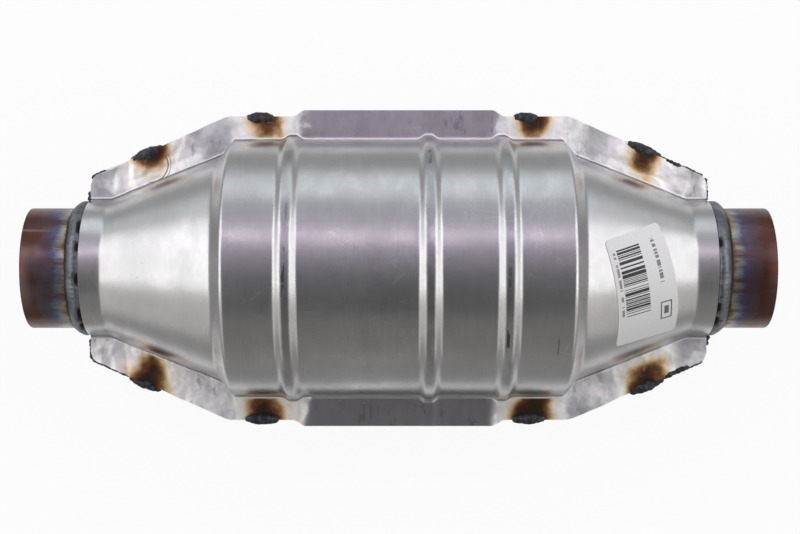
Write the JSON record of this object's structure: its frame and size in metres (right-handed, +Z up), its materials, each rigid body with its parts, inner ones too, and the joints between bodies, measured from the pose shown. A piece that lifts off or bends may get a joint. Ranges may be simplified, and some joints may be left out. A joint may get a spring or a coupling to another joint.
{
  "type": "catalytic converter",
  "caption": "Round in-line exhaust converter: welded can with a wound foil core inside two ribbed, flanged heat shields, with a plain pipe stub at each end.",
  "frame": {"origin": "centre of the converter, on the pipe axis, in the plane where the two heat shields meet", "axes": "+X along the gas flow towards the outlet stub; +Y across, in the plane of the flanges; +Z up, out of the upper heat shield"},
  "size_m": [0.33, 0.1424, 0.118],
  "materials": {
    "shield_steel": "pressed stainless sheet, satin, lightly scuffed",
    "tinted_pipe": "stainless tube with brown, purple and blue heat tint",
    "can_steel": "plain stainless sheet",
    "coated_foil": "washcoated steel foil, dull",
    "fibre_mat": "pressed ceramic fibre",
    "ring_weld": "weld bead, grey with a brown toe",
    "burnt_weld": "weld lumps, black oxide",
    "sticker": "matt white sticker"
  },
  "bodies": {
    "root": {"core_jacket": "can_steel", "foil_core": "coated_foil", "inlet_cone": "can_steel", "inlet_front_barrel_tack": "burnt_weld", "inlet_front_cone_tack": "burnt_weld", "inlet_front_seam": "burnt_weld", "inlet_jacket_weld": "ring_weld", "inlet_pipe": "tinted_pipe", "inlet_pipe_weld": "ring_weld", "inlet_rear_barrel_tack": "burnt_weld", "inlet_rear_cone_tack": "burnt_weld", "inlet_rear_seam": "burnt_weld", "label": "sticker", "lower_heat_shield": "shield_steel", "lower_insulation_mat": "fibre_mat", "outlet_cone": "can_steel", "outlet_front_barrel_tack": "burnt_weld", "outlet_front_cone_tack": "burnt_weld", "outlet_front_seam": "burnt_weld", "outlet_jacket_weld": "ring_weld", "outlet_pipe": "tinted_pipe", "outlet_pipe_weld": "ring_weld", "outlet_rear_barrel_tack": "burnt_weld", "outlet_rear_cone_tack": "burnt_weld", "outlet_rear_seam": "burnt_weld", "upper_heat_shield": "shield_steel", "upper_insulation_mat": "fibre_mat"}
  },
  "joints": []
}
